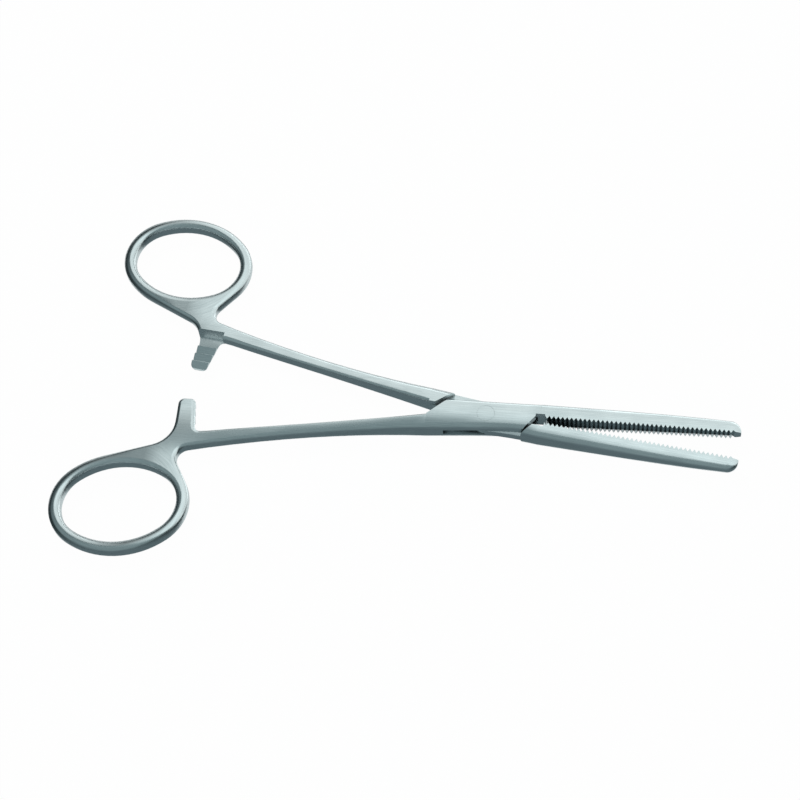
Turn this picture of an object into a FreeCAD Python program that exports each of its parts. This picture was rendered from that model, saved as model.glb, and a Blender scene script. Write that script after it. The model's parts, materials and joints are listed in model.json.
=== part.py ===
import FreeCAD, Part
import math
import os

# Straight haemostatic forceps, 160 mm long, lying flat and slightly open.
# Two one-piece steel arms cross in a box lock: the tongue of the male arm
# passes through a slot in the female arm, and a flush rivet pins them.
# Millimetres. +X runs to the jaw tips, +Z up. The origin is on the axis of
# the rivet, on the underside of the box lock, which is what the forceps rest on.
#
# Each arm is drawn in its own plan with the forceps shut: the finger ring is
# at -Y, the jaw at +Y, the rivet's axis at 0, 0 and the middle of the
# thickness at Z = 0. The male arm is the mirror image of the female one,
# apart from the lock, the level of its ratchet and the phase of its serrations.

V = FreeCAD.Vector
UP = V(0, 0, 1)

# Opening of the forceps as they lie: each arm is turned this far from shut
rest_half_angle = 3.4

# Every rounded edge is ground in this many narrow flats
edge_flats = 3

# Finger ring: the middle line of its wire is an oval, placed by a point near the neck
ring_root_x = -77.56
ring_root_y = -18.46
ring_root_angle = 60.0
ring_half_length = 15.3
ring_half_width = 11.7
ring_end_radius = 10.0
ring_tilt = 6.6
ring_wire_width = 2.95

# Plate of ring, neck and ratchet bar
plate_half_height = 1.55
plate_edge_radius = 0.95

# Hollow corners of the neck, in plan
neck_hollow_x = -81.1
neck_hollow_y = -7.1
neck_hollow_radius = 6.65
crotch_x = -69.6
crotch_y = -16.3
crotch_radius = 2.86
bar_hollow_x = -68.1
bar_hollow_y = -7.6
bar_hollow_radius = 1.3

# Ratchet bar and its teeth
bar_end_y = -0.25
bar_left_x = -74.65
bar_right_x = -70.4
bar_left_corner = 1.5
bar_right_corner = 1.2
ratchet_step_y = -10.7
ratchet_step_slope = 0.5
ratchet_side_margin = 2.0
ratchet_floor = 0.75
ratchet_gap = 0.1
ratchet_tooth_count = 3
ratchet_tooth_pitch = 2.15
ratchet_crest_width = 0.2
ratchet_back_width = 0.35
ratchet_last_crest_y = -2.5

# Shank, from the neck to the rear of the lock; its edges bow a little sideways
shank_start_x = -66.0
shank_stub_x = -60.0
shank_stub_outer_y = -10.95
shank_stub_inner_y = -7.95
shank_rear_inner_y = -0.85
shank_outer_bow = 1.0
shank_inner_edge_radius = 0.7
shank_thickening = 3
shank_stations = 5

# Box lock
lock_thickness = 5.2
lock_rear_x = -14.0
lock_shoulder_x = -8.0
lock_waist_x = 3.0
lock_front_x = 13.0
lock_rear_half_width = 4.85
lock_shoulder_half_width = 4.4
lock_waist_half_width = 3.7
lock_front_half_width = 3.8
lock_corner_radius = 1.4
cheek_half_width = 3.75
cheek_rear_x = -13.0
cheek_rear_slant = 42.0
cheek_front_x = 11.7
cheek_front_slant = 52.0
shoulder_play = 0.3
jaw_root_play = 0.15

# Slot of the female arm and tongue of the male one
slot_height = 2.0
slot_wall_x = 10.0
slot_wall_y = 4.2
slot_wall_slope = 0.65
slot_corner_y = 0.2
tongue_play = 0.06
tongue_hub_radius = 3.55
tongue_root_x = 12.7
tongue_root_y = 0.45

# Rivet
rivet_radius = 1.6
rivet_play = 0.03
rivet_head_radius = 2.1
rivet_head_depth = 0.5

# Jaws
jaw_nose_x = 57.0
jaw_nose_length = 2.6
jaw_nose_width = 3.2
jaw_nose_half_height = 1.35
jaw_nose_blunt_width = 0.4
jaw_nose_blunt_share = 0.45
jaw_nose_edge_share = 0.9
jaw_nose_turns = (35.0, 60.0, 80.0)
jaw_edge_radius = 1.2
jaw_stations = 4
jaw_narrowing = 4
serration_start_x = 14.0
serration_pitch = 1.04
serration_count = 42
serration_depth = 0.8
serration_play = 0.08
relief_start_x = 11.8
relief_depth = 0.75

half_thickness = lock_thickness / 2

# Cutting tools reach this far out from the arm's middle line, and this far past what they cut
outside = 7.0
overrun = 1.0


def prism(points, z_low, z_high):
    """Upright block over a polygon in plan."""
    corners = [V(x, y, z_low) for x, y in points]
    face = Part.Face(Part.makePolygon(corners + corners[:1]))
    return face.extrude(UP * (z_high - z_low))


def loft(sections, ruled=False):
    """Solid through closed sections in turn."""
    return Part.makeLoft(sections, True, ruled)


def blend(start, end, share):
    """Value at a share of the way from start to end."""
    return start + (end - start) * share


def edge_turns():
    """Angles at which the flats of a rounded edge meet."""
    return [math.radians(90.0 * step / edge_flats) for step in range(edge_flats + 1)]


def section(x, y_low, y_high, half_height, radius_low, radius_high):
    """Upright section across the arm at x; a radius of nothing leaves a side's corners sharp."""
    points = []
    for side, y_edge, radius in ((1, y_high, radius_high), (-1, y_low, radius_low)):
        turns = edge_turns() if radius else [0.0]
        upper = [(y_edge - side * radius * (1 - math.cos(turn)), half_height - radius * (1 - math.sin(turn)))
                 for turn in turns]
        lower = [(y, -z) for y, z in reversed(upper)]
        points += lower + upper if side > 0 else upper[::-1] + lower[::-1]
    corners = [V(x, y, z) for y, z in points]
    return Part.makePolygon(corners + corners[:1])


def evenly_begun(wire):
    """The same section drawn anew from its corner at the inner side, so that lofts don't twist."""
    middle_y = (wire.BoundBox.YMin + wire.BoundBox.YMax) / 2
    corners = sorted((vertex.Point for vertex in wire.Vertexes),
                     key=lambda corner: math.atan2(corner.z, corner.y - middle_y))
    return Part.makePolygon(corners + corners[:1])


def tangent_normal(first, second):
    """Direction from two rounds' centres to where one straight line touches both."""
    x1, y1, radius1 = first
    x2, y2, radius2 = second
    lean = (radius1 - radius2) / math.hypot(x2 - x1, y2 - y1)
    return math.atan2(y2 - y1, x2 - x1) - math.acos(max(-1.0, min(1.0, lean)))


def belt_turn(rounds, order):
    """Where the belt meets one of its rounds, and how far it follows it, as angles."""
    arrive = tangent_normal(rounds[order - 1], rounds[order])
    leave = tangent_normal(rounds[order], rounds[(order + 1) % len(rounds)])
    return arrive, (leave - arrive) % (2 * math.pi)


def touched(rounds):
    """The rounds without those that lie inside the belt, which would turn it nearly full circle."""
    for order, (x, y, radius) in enumerate(rounds):
        if radius > 0 and belt_turn(rounds, order)[1] > 1.5 * math.pi:
            return touched(rounds[:order] + rounds[order + 1:])
    return rounds


def belt(rounds, inset, z):
    """Closed outline laid anticlockwise round the rounds in turn, like a belt.

    A round is its centre and radius in plan. A negative radius is a hollow
    corner, which the belt passes on its other side.
    """
    rounds = touched(rounds)
    arcs = []
    for order, (x, y, radius) in enumerate(rounds):
        arrive, sweep = belt_turn(rounds, order)
        if radius < 0:
            sweep -= 2 * math.pi
        reach = radius - inset
        turns = (arrive, arrive + sweep / 2, arrive + sweep)
        arcs.append([V(x + reach * math.cos(turn), y + reach * math.sin(turn), z) for turn in turns])
    edges = []
    for order, (start, middle, end) in enumerate(arcs):
        last_end = arcs[order - 1][2]
        if start.distanceToPoint(last_end) > 0.001:
            edges.append(Part.LineSegment(last_end, start).toShape())
        else:
            start = last_end
        edges.append(Part.Arc(start, middle, end).toShape())
    return Part.Wire(edges)


def rounded_plate(rounds, half_height, edge_radius, grow=1):
    """Plate over a belt, its edges rounded; grow is -1 for the hole that leaves such an edge."""
    upper = [(half_height - edge_radius * (1 - math.sin(turn)), edge_radius * (1 - math.cos(turn)))
             for turn in edge_turns()]
    levels = [(-z, inset) for z, inset in reversed(upper)] + upper
    return loft([belt(rounds, grow * inset, z) for z, inset in levels], True)


def oval_rounds(widen):
    """The ring's oval as four tangent rounds: two tight ends and two flatter sides."""
    end_offset = ring_half_length - ring_end_radius
    side_radius = (ring_half_width ** 2 + end_offset ** 2 - ring_end_radius ** 2) / (
        2 * (ring_half_width - ring_end_radius))
    side_offset = side_radius - ring_half_width
    tilt = math.radians(ring_tilt)
    root = math.radians(ring_root_angle)

    def turned(along, across):
        return (along * math.cos(tilt) - across * math.sin(tilt),
                along * math.sin(tilt) + across * math.cos(tilt))

    root_x, root_y = turned(ring_half_length * math.cos(root), ring_half_width * math.sin(root))
    rounds = []
    for along, across, radius in ((end_offset, 0, ring_end_radius), (0, -side_offset, side_radius),
                                  (-end_offset, 0, ring_end_radius), (0, side_offset, side_radius)):
        x, y = turned(along, across)
        rounds.append((ring_root_x - root_x + x, ring_root_y - root_y + y, radius + widen))
    return rounds


def handle_plate():
    """Finger ring, neck and ratchet bar as one forged plate with rounded edges."""
    front_end, top_side, rear_end, bottom_side = oval_rounds(ring_wire_width / 2)
    stub_radius = (shank_stub_inner_y - shank_stub_outer_y) / 2
    outline = [
        front_end,
        (crotch_x, crotch_y, -crotch_radius),
        (shank_stub_x, shank_stub_outer_y + stub_radius, stub_radius),
        (bar_hollow_x, bar_hollow_y, -bar_hollow_radius),
        (bar_right_x - bar_right_corner, bar_end_y - bar_right_corner, bar_right_corner),
        (bar_left_x + bar_left_corner, bar_end_y - bar_left_corner, bar_left_corner),
        (neck_hollow_x, neck_hollow_y, -neck_hollow_radius),
        top_side,
        rear_end,
        bottom_side,
    ]
    opening = rounded_plate(oval_rounds(-ring_wire_width / 2), plate_half_height, plate_edge_radius, -1)
    stub_end_x = shank_stub_x + stub_radius + overrun
    beyond_neck = prism([(shank_start_x, crotch_y), (stub_end_x, crotch_y),
                         (stub_end_x, 0), (shank_start_x, 0)],
                        -plate_half_height - overrun, plate_half_height + overrun)
    return rounded_plate(outline, plate_half_height, plate_edge_radius).cut([opening, beyond_neck])


def shank(neck_end):
    """Slender shank that starts as the neck ends and thickens towards the lock."""
    outer_start = neck_end.BoundBox.YMin
    inner_start = neck_end.BoundBox.YMax
    sections = [evenly_begun(neck_end)]
    for station in range(1, shank_stations + 1):
        share = station / shank_stations
        bow = 4 * share * (1 - share)
        sections.append(evenly_begun(section(
            blend(shank_start_x, lock_rear_x, share),
            blend(outer_start, -lock_rear_half_width, share) + shank_outer_bow * bow,
            blend(inner_start, shank_rear_inner_y, share),
            blend(plate_half_height, half_thickness, share ** shank_thickening),
            blend(plate_edge_radius, lock_corner_radius, share),
            shank_inner_edge_radius)))
    return loft(sections)


def handle():
    """Ring, neck, ratchet bar blank and shank in one piece."""
    plate = handle_plate()
    neck_end = plate.slice(V(1, 0, 0), shank_start_x)[0]
    return plate.fuse(shank(neck_end))


def ratchet_cutter():
    """Takes the upper half off the ratchet bar and leaves its saw teeth."""
    top = plate_half_height + overrun
    root_y = ratchet_step_y + ratchet_step_slope * (plate_half_height + ratchet_floor)
    profile = [(ratchet_step_y - ratchet_step_slope * overrun, top), (root_y, -ratchet_floor)]
    for tooth in reversed(range(ratchet_tooth_count)):
        crest_y = ratchet_last_crest_y - tooth * ratchet_tooth_pitch
        profile.append((crest_y - ratchet_back_width, -ratchet_floor))
        profile.append((crest_y, -ratchet_gap))
        profile.append((crest_y + ratchet_crest_width, -ratchet_gap))
    profile.append((ratchet_last_crest_y + ratchet_tooth_pitch - ratchet_back_width, -ratchet_floor))
    profile.append((bar_end_y + overrun, -ratchet_floor))
    profile.append((bar_end_y + overrun, top))
    corners = [V(bar_left_x - ratchet_side_margin, y, z) for y, z in profile]
    face = Part.Face(Part.makePolygon(corners + corners[:1]))
    return face.extrude(V(bar_right_x - bar_left_x + 2 * ratchet_side_margin, 0, 0))


def lock_blank(far_limit):
    """The shut lock, waisted between the handles and the jaws, and no wider than the limit at +Y."""
    widths = ((lock_rear_x, lock_rear_half_width), (lock_shoulder_x, lock_shoulder_half_width),
              (lock_waist_x, lock_waist_half_width), (lock_front_x, lock_front_half_width))
    radius = lock_corner_radius
    return loft([section(x, -width, min(width, far_limit), half_thickness, radius, radius)
                 for x, width in widths])


def corner_behind(inner_y, play):
    """Plan space behind the slanting rear edge of the cheeks, down to a shank's inner edge."""
    slant = math.radians(cheek_rear_slant)

    def edge_x(y):
        return cheek_rear_x - play / math.sin(slant) + y / math.tan(slant)

    behind_x = lock_rear_x - overrun
    return prism([(behind_x, inner_y), (edge_x(inner_y), inner_y),
                  (edge_x(outside), outside), (behind_x, outside)], -lock_thickness, lock_thickness)


def corner_ahead(inner_y, play):
    """Plan space ahead of the slanting front edge of the cheeks, up to a jaw's biting side."""
    slant = math.radians(cheek_front_slant)

    def edge_x(y):
        return cheek_front_x + play / math.sin(slant) + y / math.tan(slant)

    ahead_x = lock_front_x + overrun
    return prism([(edge_x(-outside), -outside), (ahead_x, -outside),
                  (ahead_x, inner_y), (edge_x(inner_y), inner_y)], -lock_thickness, lock_thickness)


def slot():
    """Slot through the female arm from side to side; its end walls slant with the tongue."""
    def wall_x(y):
        return slot_wall_x + slot_wall_slope * (slot_wall_y + y)

    rear_end = [(-wall_x(-outside), -outside), (-wall_x(slot_corner_y), slot_corner_y),
                (lock_rear_x, outside)]
    front_end = [(-x, -y) for x, y in rear_end]
    front_end[-1] = (lock_front_x, -outside)
    return prism(rear_end[::-1] + front_end[::-1], -slot_height / 2, slot_height / 2)


def tongue(blank):
    """Flat tongue: a round hub on the rivet and a blade to either side, to the shank and to the jaw."""
    half = slot_height / 2 - tongue_play
    hub = Part.makeCylinder(tongue_hub_radius, 2 * half, V(0, 0, -half))
    reach = math.hypot(tongue_root_x, tongue_root_y)
    towards_root = math.atan2(tongue_root_y, -tongue_root_x)
    touch = towards_root + math.acos(tongue_hub_radius / reach)
    hub_point = (tongue_hub_radius * math.cos(touch), tongue_hub_radius * math.sin(touch))
    rear_blade = [(lock_rear_x, -shank_rear_inner_y), (-tongue_root_x, tongue_root_y), hub_point,
                  (0, outside), (lock_rear_x, outside)]
    front_blade = [(-x, -y) for x, y in rear_blade]
    blades = [prism(plan, -half, half) for plan in (rear_blade, front_blade)]
    return blank.common(blades[0].fuse(blades[1])).fuse(hub)


def jaw():
    """D-shaped jaw, sharp-edged on its biting side, tapering to a blunt rounded nose."""
    bite_y = -serration_depth / 2
    sections = []
    for station in range(jaw_stations + 1):
        share = station / jaw_stations
        sections.append(section(
            blend(lock_front_x, jaw_nose_x, share), bite_y,
            blend(lock_front_half_width, jaw_nose_width, share ** jaw_narrowing),
            blend(half_thickness, jaw_nose_half_height, share),
            0.0, blend(lock_corner_radius, jaw_edge_radius, share)))
    nose = [sections[-1]]
    for turn in jaw_nose_turns:
        share = math.cos(math.radians(turn))
        height = jaw_nose_half_height * blend(jaw_nose_blunt_share, 1.0, share)
        nose.append(section(
            jaw_nose_x + jaw_nose_length * math.sin(math.radians(turn)), bite_y,
            blend(jaw_nose_blunt_width, jaw_nose_width, share), height,
            0.0, min(jaw_edge_radius, jaw_nose_edge_share * height)))
    return loft(sections).fuse(loft(nose))


def serration_cutter(valley_first, play):
    """Everything on the far side of the zigzag biting line."""
    deep = serration_depth / 2 + play
    shallow = -serration_depth / 2 + play
    turns = (deep, shallow) if valley_first else (shallow, deep)
    points = [(relief_start_x, relief_depth + play), (serration_start_x, relief_depth + play)]
    for flank in range(2 * serration_count + 1):
        points.append((serration_start_x + flank * serration_pitch / 2, turns[flank % 2]))
    land_x = serration_start_x + (serration_count + 0.5) * serration_pitch
    end_x = jaw_nose_x + jaw_nose_length + overrun
    points += [(land_x, play), (end_x, play), (end_x, -outside), (relief_start_x, -outside)]
    return prism(points, -lock_thickness, lock_thickness)


def pivot_rivet():
    """Turned rivet with both ends peened into countersinks and ground flush."""
    profile = [
        V(0, 0, -half_thickness), V(rivet_head_radius, 0, -half_thickness),
        V(rivet_radius, 0, rivet_head_depth - half_thickness),
        V(rivet_radius, 0, half_thickness - rivet_head_depth),
        V(rivet_head_radius, 0, half_thickness), V(0, 0, half_thickness),
    ]
    face = Part.Face(Part.makePolygon(profile + profile[:1]))
    return face.revolve(V(0, 0, 0), UP, 360)


def mirrored(shape):
    """The same for the other arm."""
    return shape.mirror(V(0, 0, 0), V(0, 1, 0))


def female_arm():
    """Arm with the slotted lock, whose ratchet teeth face down."""
    lock = lock_blank(cheek_half_width)
    lock = lock.cut([corner_behind(shank_rear_inner_y, 0.0), corner_ahead(relief_depth, 0.0)])
    arm = handle().fuse([lock, jaw()])
    teeth = ratchet_cutter().mirror(V(0, 0, 0), UP)
    return arm.cut([serration_cutter(True, 0.0), teeth, slot(), pivot_rivet()])


def male_arm():
    """Arm with the tongue, whose ratchet teeth face up."""
    blank = lock_blank(lock_rear_half_width)
    shank_root = blank.common(corner_behind(-shank_rear_inner_y, shoulder_play))
    jaw_root = blank.common(corner_ahead(-relief_depth, jaw_root_play))
    bare_handle = mirrored(handle().cut(ratchet_cutter()))
    bite = mirrored(jaw().cut(serration_cutter(False, serration_play)))
    arm = bare_handle.fuse([shank_root, jaw_root, tongue(blank), bite])
    bore = Part.makeCylinder(rivet_radius + rivet_play, lock_thickness, V(0, 0, -half_thickness))
    return arm.cut(bore)


def placed(shape, angle):
    """Turned to the opening of the forceps as they lie, and set on their underside."""
    shape = shape.copy()
    shape.rotate(V(0, 0, 0), UP, angle)
    shape.translate(UP * half_thickness)
    return shape


def main():
    """Build the three pieces and write one STEP file for each."""
    nodes = {
        "female_arm": placed(female_arm(), rest_half_angle),
        "male_arm": placed(male_arm(), -rest_half_angle),
        "pivot_rivet": placed(pivot_rivet(), rest_half_angle),
    }
    os.makedirs("parts", exist_ok=True)
    for name, shape in nodes.items():
        print(name, shape.ShapeType, len(shape.Solids), shape.isValid(), round(shape.Volume, 1))
        shape.exportStep("parts/%s.step" % name)


main()
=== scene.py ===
import json
import logging
import math
from dataclasses import dataclass
from enum import Enum

import bmesh
import bpy
from mathutils import Matrix, Vector


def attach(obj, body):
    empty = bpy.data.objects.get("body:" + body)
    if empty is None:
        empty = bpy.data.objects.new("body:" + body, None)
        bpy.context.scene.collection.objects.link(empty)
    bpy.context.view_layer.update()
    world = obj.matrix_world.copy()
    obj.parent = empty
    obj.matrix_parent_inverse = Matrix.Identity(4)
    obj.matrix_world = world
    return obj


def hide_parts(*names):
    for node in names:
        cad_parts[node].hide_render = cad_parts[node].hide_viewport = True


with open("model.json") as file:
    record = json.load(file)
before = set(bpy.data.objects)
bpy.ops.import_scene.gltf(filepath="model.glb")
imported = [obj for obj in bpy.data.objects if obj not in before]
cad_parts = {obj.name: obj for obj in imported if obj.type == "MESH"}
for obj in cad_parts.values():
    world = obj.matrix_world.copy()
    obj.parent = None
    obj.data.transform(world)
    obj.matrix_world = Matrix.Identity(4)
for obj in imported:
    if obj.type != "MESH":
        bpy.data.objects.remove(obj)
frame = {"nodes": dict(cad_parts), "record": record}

LOG = logging.getLogger("forceps")
MM = 0.001

# Each arm lies this far open from the line midway between the two
REST_HALF_ANGLE = math.radians(3.4)

# A node's input is fed by another node's socket or holds a plain value
Feed = bpy.types.NodeSocket | float | tuple[float, ...] | Vector


def linear(hex_colour: str) -> tuple[float, float, float, float]:
    """Turn an sRGB hex colour into a linear one.

    Args:
        hex_colour: Six hex digits, as in "9fb0b2".

    Returns:
        Red, green and blue as the shader wants them, and an alpha of 1.
    """
    channels = [int(hex_colour[place:place + 2], 16) / 255 for place in (0, 2, 4)]

    # The sRGB curve, which is a straight line near black
    turned = [value / 12.92 if value <= 0.04045 else ((value + 0.055) / 1.055) ** 2.4 for value in channels]
    return turned[0], turned[1], turned[2], 1.0


def add_node(tree: bpy.types.NodeTree, kind: str, settings: dict[str, object] | None = None,
             inputs: dict[str | int, Feed] | None = None) -> bpy.types.Node:
    """Add one node with its settings and links.

    Args:
        tree: The node tree that the node joins.
        kind: Blender's name for the node's type.
        settings: The node's own properties by name.
        inputs: For each input's name or number, a value or the socket that feeds it.

    Returns:
        The new node.
    """
    node = tree.nodes.new(kind)
    for name, value in (settings or {}).items():
        setattr(node, name, value)
    for name, value in (inputs or {}).items():
        socket = node.inputs[name]
        if isinstance(value, bpy.types.NodeSocket):
            tree.links.new(value, socket)
        else:
            socket.default_value = value
    return node


class Arm(Enum):
    """The two arms of the forceps, each with its own body, way round and finger ring."""

    FEMALE = "female"
    MALE = "male"

    @property
    def node(self) -> str:
        """Name of the arm's CAD node."""
        return self.value + "_arm"

    @property
    def side(self) -> float:
        """1 for the female arm, whose ring is at -Y, and -1 for its mirror image."""
        return 1.0 if self is Arm.FEMALE else -1.0

    @property
    def turn(self) -> float:
        """Angle in radians by which the arm lies open from the line midway between the two."""
        return REST_HALF_ANGLE * self.side

    @property
    def ring_centre(self) -> Vector:
        """Middle of the arm's finger ring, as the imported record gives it."""
        name = self.value + "_finger_ring"
        return Vector(next(mount["pos_m"] for mount in frame["record"]["mounts"] if mount["name"] == name))


@dataclass(frozen=True)
class SatinSteel:
    """Martensitic stainless steel, belt-ground and then satin-brushed along every limb and round every ring.

    It reads as a cool, faintly green grey. Its highlights are broad and soft, and
    fine streaks run with the brush. The slot and the recesses are darkened with
    painted shade, by how little open sky they see.
    """

    name: str = "satin_brushed_stainless_steel"
    light_hex: str = "e6eced"
    streak_hex: str = "c4ccce"
    roughness: float = 0.24
    roughness_swing: float = 0.10
    gloss_noise: tuple[float, float] = (0.6, 1.4)

    # Real brush marks are a few hundredths of a millimetre wide, too fine to show, so these are drawn coarser
    brush_mark_width: float = 0.20 * MM
    brush_mark_length: float = 9.0 * MM
    brush_mark_depth: float = 0.004 * MM
    brush_mark_detail: float = 3.0
    brush_mark_roughness: float = 0.6
    streak_noise: tuple[float, float] = (0.3, 0.7)
    streak_share: float = 0.55
    cloud_size: float = 7.0 * MM
    cloud_detail: float = 2.0
    cloud_share: float = 0.5

    # Painted shade in the slot and recesses: their share of open sky, from darkest to unshaded
    painted_shade_hex: str = "20282b"
    painted_shade_reach: float = 3.0 * MM
    painted_shade_openness: tuple[float, float] = (0.22, 0.5)
    painted_shade_samples: int = 8

    # Where the marks turn from the limb into the ring, by distance from the ring's middle
    ring_radius: float = 13.5 * MM
    ring_grain_ends: float = 17.2 * MM
    limb_grain_starts: float = 22.0 * MM

    # Bearing of the neck from the ring's middle, and the angles from it between which the neck fades out
    neck_bearing: float = math.radians(60.0)
    neck_begins: float = math.radians(65.0)
    neck_full: float = math.radians(25.0)

    # Crown of the limb: it bends away from the arm's inner line, which slopes behind the lock
    crown_bend: float = 0.031 / MM
    crown_drop: float = 1.0 * MM
    crown_ends: float = -80.0 * MM
    crown_full: float = -62.0 * MM
    lock_rear: float = -14.0 * MM
    inner_line_slope: float = 0.154

    # Crown of the ring, over the oval middle line of its wire
    ring_half_length: float = 15.3 * MM
    ring_half_width: float = 11.7 * MM
    ring_tilt: float = math.radians(6.6)
    ring_crown_reach: float = 2.6 * MM
    ring_crown_drop: float = 0.75 * MM

    # A scale so large that height no longer counts
    height_ignored: float = 1e9

    def material(self, arm: Arm) -> bpy.types.Material:
        """Build the finish for one arm.

        Args:
            arm: The arm whose limb and ring the brush marks follow.

        Returns:
            The finished material.
        """
        material = bpy.data.materials.new(self.name + "_" + arm.value)
        material.use_nodes = True
        tree = material.node_tree
        place = add_node(tree, "ShaderNodeTexCoord").outputs["Object"]
        grain = self.brush_marks(tree, place, arm)
        clouds = add_node(tree, "ShaderNodeTexNoise", inputs={
            "Vector": place, "Scale": 1 / self.cloud_size, "Detail": self.cloud_detail}).outputs["Fac"]
        shader = tree.nodes["Principled BSDF"]
        shader.inputs["Metallic"].default_value = 1.0
        tree.links.new(self.colour(tree, grain, clouds), shader.inputs["Base Color"])
        tree.links.new(self.gloss(tree, grain, clouds), shader.inputs["Roughness"])
        tree.links.new(self.relief(tree, grain, self.crowned(tree, place, arm)), shader.inputs["Normal"])
        return material

    def limb_marks(self, tree: bpy.types.NodeTree, place: bpy.types.NodeSocket,
                   arm: Arm) -> bpy.types.NodeSocket:
        """Straight brush marks along the shank, the lock and the jaw.

        Args:
            tree: The material's node tree.
            place: Object coordinates.
            arm: The arm that the marks run along.

        Returns:
            Noise from 0 to 1, drawn out along the arm.
        """
        width = self.brush_mark_width
        along = add_node(tree, "ShaderNodeMapping", {"vector_type": "TEXTURE"}, {
            "Vector": place, "Rotation": (0.0, 0.0, arm.turn),
            "Scale": (self.brush_mark_length, width, width)})
        return self.mark_noise(tree, along.outputs[0])

    def mark_noise(self, tree: bpy.types.NodeTree, stretched: bpy.types.NodeSocket) -> bpy.types.NodeSocket:
        """Noise of the brush marks.

        Args:
            tree: The material's node tree.
            stretched: Coordinates in which one mark is about 1 wide and 1 long.

        Returns:
            Noise from 0 to 1.
        """
        return add_node(tree, "ShaderNodeTexNoise", inputs={
            "Vector": stretched, "Scale": 1.0, "Detail": self.brush_mark_detail,
            "Roughness": self.brush_mark_roughness}).outputs["Fac"]

    def ring_marks(self, tree: bpy.types.NodeTree, across: bpy.types.NodeSocket,
                   local: bpy.types.NodeSocket) -> bpy.types.NodeSocket:
        """Brush marks that run round the finger ring; their ends meet at the neck.

        Args:
            tree: The material's node tree.
            across: Distance from the ring's middle.
            local: Coordinates about the ring's middle, with -X towards the neck.

        Returns:
            Noise from 0 to 1, drawn out round the ring.
        """
        parts = add_node(tree, "ShaderNodeSeparateXYZ", inputs={0: local}).outputs
        angle = add_node(tree, "ShaderNodeMath", {"operation": "ARCTAN2"}, {0: parts["Y"], 1: parts["X"]})
        marks = []
        for value, factor in ((angle.outputs[0], self.ring_radius / self.brush_mark_length),
                              (across, 1 / self.brush_mark_width), (parts["Z"], 1 / self.brush_mark_width)):
            marks.append(add_node(tree, "ShaderNodeMath", {"operation": "MULTIPLY"}, {0: value, 1: factor}))
        round_ring = add_node(tree, "ShaderNodeCombineXYZ", inputs={
            axis: mark.outputs[0] for axis, mark in enumerate(marks)})
        return self.mark_noise(tree, round_ring.outputs[0])

    def brush_marks(self, tree: bpy.types.NodeTree, place: bpy.types.NodeSocket,
                    arm: Arm) -> bpy.types.NodeSocket:
        """Brush marks over the whole arm, turning from the limb into the ring over the neck.

        Args:
            tree: The material's node tree.
            place: Object coordinates.
            arm: The arm that the marks follow.

        Returns:
            Noise from 0 to 1.
        """
        bearing = arm.turn + arm.side * (self.neck_bearing + math.pi)
        local = add_node(tree, "ShaderNodeMapping", {"vector_type": "TEXTURE"}, {
            "Vector": place, "Location": arm.ring_centre, "Rotation": (0.0, 0.0, bearing)}).outputs[0]
        flat = add_node(tree, "ShaderNodeVectorMath", {"operation": "MULTIPLY"}, {
            0: local, 1: (1.0, 1.0, 0.0)})
        across = add_node(tree, "ShaderNodeVectorMath", {"operation": "LENGTH"}, {
            0: flat.outputs[0]}).outputs["Value"]
        limb_share = add_node(tree, "ShaderNodeMapRange", {"interpolation_type": "SMOOTHSTEP"}, {
            "Value": across, "From Min": self.ring_grain_ends, "From Max": self.limb_grain_starts})
        return add_node(tree, "ShaderNodeMix", {"data_type": "FLOAT"}, {
            "Factor": limb_share.outputs[0],
            2: self.ring_marks(tree, across, local),
            3: self.limb_marks(tree, place, arm)}).outputs[0]

    def colour(self, tree: bpy.types.NodeTree, grain: bpy.types.NodeSocket,
               clouds: bpy.types.NodeSocket) -> bpy.types.NodeSocket:
        """Grey that is streaked by the brush, faintly clouded, and darkened in corners with painted shade.

        Args:
            tree: The material's node tree.
            grain: The brush marks.
            clouds: Broad, soft unevenness.

        Returns:
            The colour.
        """
        streak = add_node(tree, "ShaderNodeMapRange", inputs={
            "Value": grain, "From Min": self.streak_noise[0], "From Max": self.streak_noise[1],
            "To Min": 0.0, "To Max": self.streak_share})
        uneven = add_node(tree, "ShaderNodeMath", {"operation": "MULTIPLY_ADD"}, {
            0: clouds, 1: self.cloud_share, 2: streak.outputs[0]})
        steel = add_node(tree, "ShaderNodeMix", {"data_type": "RGBA"}, {
            "Factor": uneven.outputs[0], 6: linear(self.light_hex), 7: linear(self.streak_hex)})
        # Painted shade: the colour turns dark where little open sky reaches the slot and the recesses
        painted_shade_ao = add_node(tree, "ShaderNodeAmbientOcclusion", {"samples": self.painted_shade_samples}, {
            "Distance": self.painted_shade_reach})
        unshaded_share = add_node(tree, "ShaderNodeMapRange", inputs={
            "Value": painted_shade_ao.outputs["AO"],
            "From Min": self.painted_shade_openness[0], "From Max": self.painted_shade_openness[1]})
        return add_node(tree, "ShaderNodeMix", {"data_type": "RGBA"}, {
            "Factor": unshaded_share.outputs[0], 6: linear(self.painted_shade_hex), 7: steel.outputs[2]}).outputs[2]

    def gloss(self, tree: bpy.types.NodeTree, grain: bpy.types.NodeSocket,
              clouds: bpy.types.NodeSocket) -> bpy.types.NodeSocket:
        """Roughness that follows the brush marks and the clouds.

        Args:
            tree: The material's node tree.
            grain: The brush marks.
            clouds: Broad, soft unevenness.

        Returns:
            The roughness.
        """
        both = add_node(tree, "ShaderNodeMath", {"operation": "ADD"}, {0: grain, 1: clouds})
        return add_node(tree, "ShaderNodeMapRange", inputs={
            "Value": both.outputs[0], "From Min": self.gloss_noise[0], "From Max": self.gloss_noise[1],
            "To Min": self.roughness - self.roughness_swing / 2,
            "To Max": self.roughness + self.roughness_swing / 2}).outputs[0]

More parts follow.
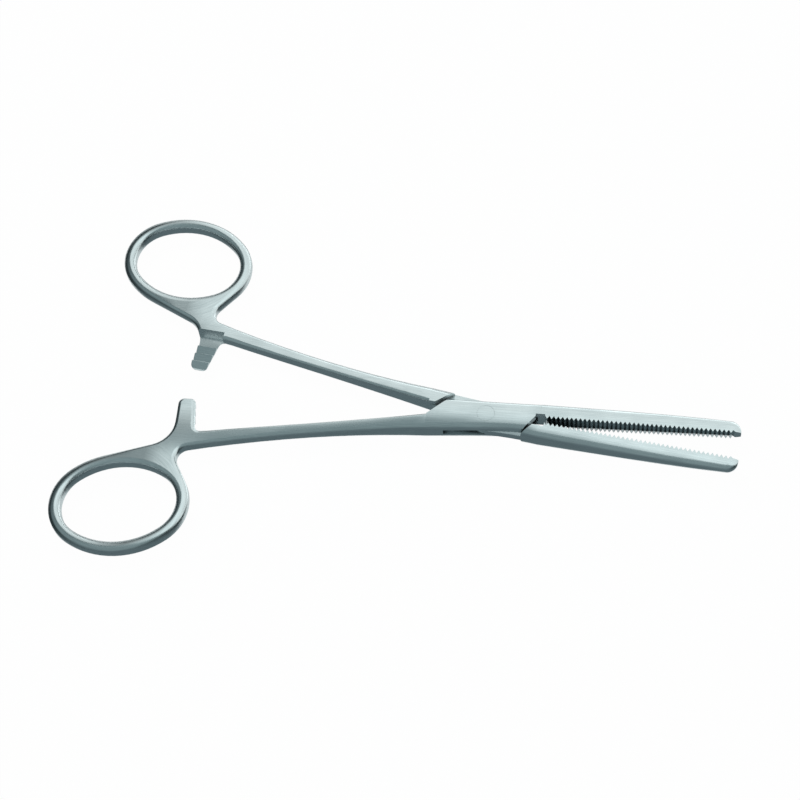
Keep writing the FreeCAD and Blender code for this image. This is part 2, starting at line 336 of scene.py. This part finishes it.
    def crowned(self, tree: bpy.types.NodeTree, place: bpy.types.NodeSocket,
                arm: Arm) -> bpy.types.NodeSocket:
        """Slight crown that belt grinding leaves: flat along the arm's inner line, falling away from it.

        Args:
            tree: The material's node tree.
            place: Object coordinates.
            arm: The arm whose inner line the crown follows.

        Returns:
            Height in metres, 0 on the inner line and less beside it.
        """
        local = add_node(tree, "ShaderNodeMapping", {"vector_type": "TEXTURE"}, {
            "Vector": place, "Rotation": (0.0, 0.0, arm.turn), "Scale": (1.0, arm.side, 1.0)})
        parts = add_node(tree, "ShaderNodeSeparateXYZ", inputs={0: local.outputs[0]}).outputs
        behind = add_node(tree, "ShaderNodeMath", {"operation": "SUBTRACT"}, {
            0: self.lock_rear, 1: parts["X"]})
        shank = add_node(tree, "ShaderNodeMath", {"operation": "MAXIMUM"}, {0: behind.outputs[0], 1: 0.0})
        beside = add_node(tree, "ShaderNodeMath", {"operation": "MULTIPLY_ADD"}, {
            0: shank.outputs[0], 1: self.inner_line_slope, 2: parts["Y"]})
        square = add_node(tree, "ShaderNodeMath", {"operation": "MULTIPLY"}, {
            0: beside.outputs[0], 1: beside.outputs[0]})
        bend = add_node(tree, "ShaderNodeMath", {"operation": "MULTIPLY"}, {
            0: square.outputs[0], 1: self.crown_bend})
        drop = add_node(tree, "ShaderNodeMath", {"operation": "SMOOTH_MIN"}, {
            0: bend.outputs[0], 1: self.crown_drop, 2: self.crown_drop})
        limb_share = add_node(tree, "ShaderNodeMapRange", {"interpolation_type": "SMOOTHSTEP"}, {
            "Value": parts["X"], "From Min": self.crown_ends, "From Max": self.crown_full,
            "To Min": 0.0, "To Max": -1.0})
        return add_node(tree, "ShaderNodeMath", {"operation": "MULTIPLY_ADD"}, {
            0: drop.outputs[0], 1: limb_share.outputs[0], 2: self.ring_crown(tree, place, arm)}).outputs[0]

    def ring_crown(self, tree: bpy.types.NodeTree, place: bpy.types.NodeSocket,
                   arm: Arm) -> bpy.types.NodeSocket:
        """Roundness that polishing gives the ring: highest on the wire's middle line, lower beside it.

        Args:
            tree: The material's node tree.
            place: Object coordinates.
            arm: The arm whose ring is rounded.

        Returns:
            Height in metres, 0 on the wire's middle line and less beside it.
        """
        off = self.off_middle_line(tree, place, arm)
        inner_fall = self.fall(tree, off, -self.ring_crown_reach)
        outer_fall = self.fall(tree, off, self.ring_crown_reach)
        bearing = arm.turn + arm.side * self.neck_bearing
        towards_neck = add_node(tree, "ShaderNodeVectorMath", {"operation": "DOT_PRODUCT"}, {
            0: self.outward(tree, place, arm), 1: (math.cos(bearing), math.sin(bearing), 0.0)})
        free_share = add_node(tree, "ShaderNodeMapRange", {"interpolation_type": "SMOOTHSTEP"}, {
            "Value": towards_neck.outputs["Value"], "From Min": math.cos(self.neck_begins),
            "From Max": math.cos(self.neck_full), "To Min": 1.0, "To Max": 0.0})
        return add_node(tree, "ShaderNodeMath", {"operation": "MULTIPLY_ADD"}, {
            0: outer_fall, 1: free_share.outputs[0], 2: inner_fall}).outputs[0]

    def fall(self, tree: bpy.types.NodeTree, off: bpy.types.NodeSocket, reach: float) -> bpy.types.NodeSocket:
        """Smooth fall of the ring's crown to one side of the wire's middle line.

        Args:
            tree: The material's node tree.
            off: Distance from the middle line, negative inside the ring.
            reach: Distance at which the fall ends, negative for the inner side.

        Returns:
            Height in metres, 0 on the middle line and on its other side.
        """
        return add_node(tree, "ShaderNodeMapRange", {"interpolation_type": "SMOOTHSTEP"}, {
            "Value": off, "From Min": 0.0, "From Max": reach,
            "To Min": 0.0, "To Max": -self.ring_crown_drop}).outputs[0]

    def off_middle_line(self, tree: bpy.types.NodeTree, place: bpy.types.NodeSocket,
                        arm: Arm) -> bpy.types.NodeSocket:
        """Distance from the oval middle line of the ring's wire, seen from above.

        Args:
            tree: The material's node tree.
            place: Object coordinates.
            arm: The arm that the ring belongs to.

        Returns:
            Distance in metres, negative inside the ring.
        """
        turn = (0.0, 0.0, arm.turn + arm.side * self.ring_tilt)
        lengths = []
        for size in ((1.0, 1.0, self.height_ignored),
                     (self.ring_half_length, self.ring_half_width, self.height_ignored)):
            local = add_node(tree, "ShaderNodeMapping", {"vector_type": "TEXTURE"}, {
                "Vector": place, "Location": arm.ring_centre, "Rotation": turn, "Scale": size})
            lengths.append(add_node(tree, "ShaderNodeVectorMath", {"operation": "LENGTH"}, {
                0: local.outputs[0]}).outputs["Value"])
        middle = add_node(tree, "ShaderNodeMath", {"operation": "DIVIDE"}, {
            0: lengths[0], 1: lengths[1]})
        return add_node(tree, "ShaderNodeMath", {"operation": "SUBTRACT"}, {
            0: lengths[0], 1: middle.outputs[0]}).outputs[0]

    def outward(self, tree: bpy.types.NodeTree, place: bpy.types.NodeSocket,
                arm: Arm) -> bpy.types.NodeSocket:
        """Level direction from the middle of the finger ring.

        Args:
            tree: The material's node tree.
            place: Object coordinates.
            arm: The arm that the ring belongs to.

        Returns:
            A direction of length 1.
        """
        offset = add_node(tree, "ShaderNodeVectorMath", {"operation": "SUBTRACT"}, {
            0: place, 1: arm.ring_centre})
        level = add_node(tree, "ShaderNodeVectorMath", {"operation": "MULTIPLY"}, {
            0: offset.outputs[0], 1: (1.0, 1.0, 0.0)})
        return add_node(tree, "ShaderNodeVectorMath", {"operation": "NORMALIZE"}, {
            0: level.outputs[0]}).outputs[0]

    def relief(self, tree: bpy.types.NodeTree, grain: bpy.types.NodeSocket,
               crown: bpy.types.NodeSocket) -> bpy.types.NodeSocket:
        """Ground crown and the depth of the brush marks.

        Args:
            tree: The material's node tree.
            grain: The brush marks.
            crown: Height of the crown in metres.

        Returns:
            The shading normal.
        """
        height = add_node(tree, "ShaderNodeMath", {"operation": "MULTIPLY_ADD"}, {
            0: grain, 1: self.brush_mark_depth, 2: crown})
        return add_node(tree, "ShaderNodeBump", inputs={
            "Strength": 1.0, "Distance": 1.0, "Height": height.outputs[0]}).outputs[0]


@dataclass
class DressedPiece:
    """A CAD piece with its facets merged and shaded round, broken only at its real edges."""

    node: str
    body: str
    slot: str
    crease_angle: float = math.radians(32.0)
    flat_angle: float = math.radians(0.3)
    merge_distance: float = 0.001 * MM
    edge_break: float = 0.05 * MM
    edge_segments: int = 2

    def build(self, material: bpy.types.Material) -> bpy.types.Object:
        """Copy the CAD piece, merge its triangles and give it its finish.

        Args:
            material: The finish that the whole piece takes.

        Returns:
            The new piece, which rides on its body.
        """
        mesh = frame["nodes"][self.node].data.copy()
        mesh.materials.clear()
        mesh.materials.append(material)
        self.merge_facets(mesh)
        piece = bpy.data.objects.new(self.node + "_brushed", mesh)
        bpy.context.scene.collection.objects.link(piece)
        self.break_edges(piece)
        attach(piece, self.body)
        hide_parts(self.node)
        return piece

    def merge_facets(self, mesh: bpy.types.Mesh) -> None:
        """Merge loose triangles into whole flats and mark the real edges sharp.

        Args:
            mesh: The piece's mesh, changed in place.
        """
        shape = bmesh.new()
        shape.from_mesh(mesh)
        bmesh.ops.remove_doubles(shape, verts=shape.verts, dist=self.merge_distance)
        bmesh.ops.dissolve_limit(shape, angle_limit=self.flat_angle, verts=shape.verts, edges=shape.edges)
        for face in shape.faces:
            face.smooth = True
            face.material_index = 0
        for edge in shape.edges:
            edge.smooth = len(edge.link_faces) == 2 and edge.calc_face_angle(0.0) < self.crease_angle
        shape.to_mesh(mesh)
        shape.free()

    def break_edges(self, piece: bpy.types.Object) -> None:
        """Break the sharp edges as the brush does, and keep the flats flat in the shading.

        Args:
            piece: The piece that gets the two modifiers.
        """
        edges = piece.modifiers.new("brushed_over_edges", "BEVEL")
        edges.width = self.edge_break
        edges.segments = self.edge_segments
        edges.limit_method = "ANGLE"
        edges.angle_limit = self.crease_angle
        edges.use_clamp_overlap = True
        shading = piece.modifiers.new("flats_keep_their_normals", "WEIGHTED_NORMAL")
        shading.mode = "FACE_AREA_WITH_ANGLE"
        shading.keep_sharp = True


@dataclass(frozen=True)
class MattWhiteCard:
    """Matt, uncoated white card, without gloss, on which a shadow is soft.

    The camera sees it nearly as plain white. The steel doesn't mirror it: it
    mirrors the room's lower half in its place, which keeps its lower sides dark.
    """

    name: str = "matt_white_card"
    card_hex: str = "b9c1c1"
    roughness: float = 0.9

    # The camera's view of the lit card, with the shadow on it, is lifted this share of the way to white
    white_hex: str = "ffffff"
    lift: float = 0.985

    def material(self) -> bpy.types.Material:
        """Build the finish.

        Returns:
            The finished material.
        """
        material = bpy.data.materials.new(self.name)
        material.use_nodes = True
        tree = material.node_tree
        card = tree.nodes["Principled BSDF"]
        card.inputs["Base Color"].default_value = linear(self.card_hex)
        card.inputs["Roughness"].default_value = self.roughness
        path = add_node(tree, "ShaderNodeLightPath")
        white = add_node(tree, "ShaderNodeEmission", inputs={
            "Color": linear(self.white_hex), "Strength": 1.0})
        share = add_node(tree, "ShaderNodeMath", {"operation": "MULTIPLY"}, {
            0: path.outputs["Is Camera Ray"], 1: self.lift})
        lifted = add_node(tree, "ShaderNodeMixShader", inputs={
            0: share.outputs[0], 1: card.outputs[0], 2: white.outputs[0]})
        unseen = add_node(tree, "ShaderNodeBsdfTransparent")
        mirrored = add_node(tree, "ShaderNodeMixShader", inputs={
            0: path.outputs["Is Glossy Ray"], 1: lifted.outputs[0], 2: unseen.outputs[0]})
        tree.links.new(mirrored.outputs[0], tree.nodes["Material Output"].inputs["Surface"])
        return material


@dataclass(frozen=True)
class Panel:
    """One soft-edged bright or grey part of the room, as the steel mirrors it.

    It has its full strength within one angle of its middle, and is gone beyond
    a second one. Both are in degrees.
    """

    towards: tuple[float, float, float]
    full_within: float
    gone_beyond: float
    hex_colour: str
    strength: float

    def light(self, tree: bpy.types.NodeTree, direction: bpy.types.NodeSocket) -> bpy.types.NodeSocket:
        """Build the panel's light.

        Args:
            tree: The world's node tree.
            direction: Direction in which the room is seen.

        Returns:
            The panel's colour times its share in that direction.
        """
        cosine = add_node(tree, "ShaderNodeVectorMath", {"operation": "DOT_PRODUCT"}, {
            0: direction, 1: Vector(self.towards).normalized()}).outputs["Value"]
        share = add_node(tree, "ShaderNodeMapRange", {"interpolation_type": "SMOOTHSTEP"}, {
            "Value": cosine, "From Min": math.cos(math.radians(self.gone_beyond)),
            "From Max": math.cos(math.radians(self.full_within)), "To Max": self.strength}).outputs[0]
        return add_node(tree, "ShaderNodeVectorMath", {"operation": "SCALE"}, {
            0: linear(self.hex_colour)[:3], "Scale": share}).outputs[0]


@dataclass
class Studio:
    """White table in a studio whose bright and grey parts the steel mirrors.

    The panels are, in order: a large soft box to the far right, the grey near
    side, a bright card beyond the forceps and a dim floor in front of them.
    """

    table_size: float = 6.0
    lamp_size: float = 0.35
    lamp_place: tuple[float, float, float] = (-0.7, 0.75, 0.75)
    lamp_power: float = 12.0
    room_hex: str = "313b3d"
    backdrop_hex: str = "ffffff"
    panels: tuple[Panel, ...] = (
        Panel((0.62, 0.66, 0.42), 53.5, 64.5, "eef6f5", 1.0),
        Panel((-0.10, -0.55, 0.83), 30.0, 80.0, "7f8e90", 1.0),
        Panel((-0.05, 0.75, -0.66), 35.0, 60.0, "f0f6f6", 0.8),
        Panel((0.0, -0.60, -0.80), 30.0, 70.0, "586468", 1.0),
    )

    def build(self) -> None:
        """Build the table, the lamp and the room's light."""
        self.table()
        self.lamp()
        self.room()

    def table(self) -> None:
        """White table top, which takes the object's shadow."""
        shape = bmesh.new()
        bmesh.ops.create_grid(shape, x_segments=1, y_segments=1, size=self.table_size / 2)
        mesh = bpy.data.meshes.new("table_top")
        shape.to_mesh(mesh)
        shape.free()
        table = bpy.data.objects.new("table_top", mesh)
        bpy.context.scene.collection.objects.link(table)
        mesh.materials.append(MattWhiteCard().material())

    def lamp(self) -> None:
        """Soft box behind and to the left, which casts the shadow and isn't mirrored itself."""
        data = bpy.data.lights.new("soft_box", "AREA")
        data.shape = "SQUARE"
        data.size = self.lamp_size
        data.energy = self.lamp_power
        lamp = bpy.data.objects.new("soft_box", data)
        lamp.location = self.lamp_place
        lamp.rotation_euler = (-lamp.location).to_track_quat("-Z", "Y").to_euler()
        lamp.visible_glossy = False
        bpy.context.scene.collection.objects.link(lamp)

    def room(self) -> None:
        """The room as the steel mirrors it; where the table ends, the camera sees plain white."""
        world = bpy.data.worlds.new("studio_room")
        world.use_nodes = True
        tree = world.node_tree
        direction = add_node(tree, "ShaderNodeTexCoord").outputs["Generated"]
        light: Feed = linear(self.room_hex)[:3]
        for panel in self.panels:
            light = add_node(tree, "ShaderNodeVectorMath", {"operation": "ADD"}, {
                0: light, 1: panel.light(tree, direction)}).outputs[0]
        tree.links.new(light, tree.nodes["Background"].inputs["Color"])
        backdrop = add_node(tree, "ShaderNodeBackground", inputs={
            "Color": linear(self.backdrop_hex), "Strength": 1.0})
        path = add_node(tree, "ShaderNodeLightPath")
        seen = add_node(tree, "ShaderNodeMixShader", inputs={
            0: path.outputs["Is Camera Ray"], 1: tree.nodes["Background"].outputs[0], 2: backdrop.outputs[0]})
        tree.links.new(seen.outputs[0], tree.nodes["World Output"].inputs["Surface"])
        bpy.context.scene.world = world


@dataclass
class PhotoCamera:
    """Camera at the photograph's angle, aimed at a point on the middle plane of the forceps.

    Its azimuth, elevation and roll are in degrees.
    """

    azimuth: float = 19.16
    elevation: float = 59.17
    roll: float = 10.01
    distance: float = 431.4 * MM
    aim: tuple[float, float, float] = (-21.29 * MM, 2.32 * MM, 2.6 * MM)
    focal_pixels: float = 1800.0
    image_pixels: float = 800.0
    sensor_width: float = 36.0

    def build(self) -> bpy.types.Object:
        """Build the camera and make it the scene's own.

        Returns:
            The camera.
        """
        azimuth = math.radians(self.azimuth)
        elevation = math.radians(self.elevation)
        roll = math.radians(self.roll)
        forward = Vector((-math.sin(azimuth) * math.cos(elevation), math.cos(azimuth) * math.cos(elevation),
                          -math.sin(elevation)))
        level = forward.cross(Vector((0, 0, 1))).normalized()
        down = forward.cross(level)
        right = level * math.cos(roll) + down * math.sin(roll)
        up = level * math.sin(roll) - down * math.cos(roll)
        data = bpy.data.cameras.new("photo_camera")
        data.sensor_width = self.sensor_width
        data.lens = self.sensor_width * self.focal_pixels / self.image_pixels
        data.clip_start = 10.0 * MM
        camera = bpy.data.objects.new("photo_camera", data)
        place = Vector(self.aim) - forward * self.distance
        turn = Matrix((right, up, -forward)).transposed().to_4x4()
        camera.matrix_world = Matrix.Translation(place) @ turn
        bpy.context.scene.collection.objects.link(camera)
        bpy.context.scene.camera = camera
        return camera


def main() -> None:
    """Build the pieces, the studio and the camera in order."""
    logging.basicConfig(level=logging.INFO, format="%(message)s")
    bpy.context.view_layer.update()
    steel = SatinSteel()
    finishes = {arm: steel.material(arm) for arm in Arm}
    pieces = [DressedPiece(arm.node, arm.value, "satin_steel").build(finishes[arm]) for arm in Arm]
    pieces.append(DressedPiece("pivot_rivet", Arm.FEMALE.value, "rivet_steel").build(finishes[Arm.FEMALE]))
    for piece in pieces:
        LOG.info("%s: %d faces", piece.name, len(piece.data.polygons))
    Studio().build()
    PhotoCamera().build()
    bpy.context.scene.view_settings.view_transform = "Standard"


if __name__ == "__main__":
    main()
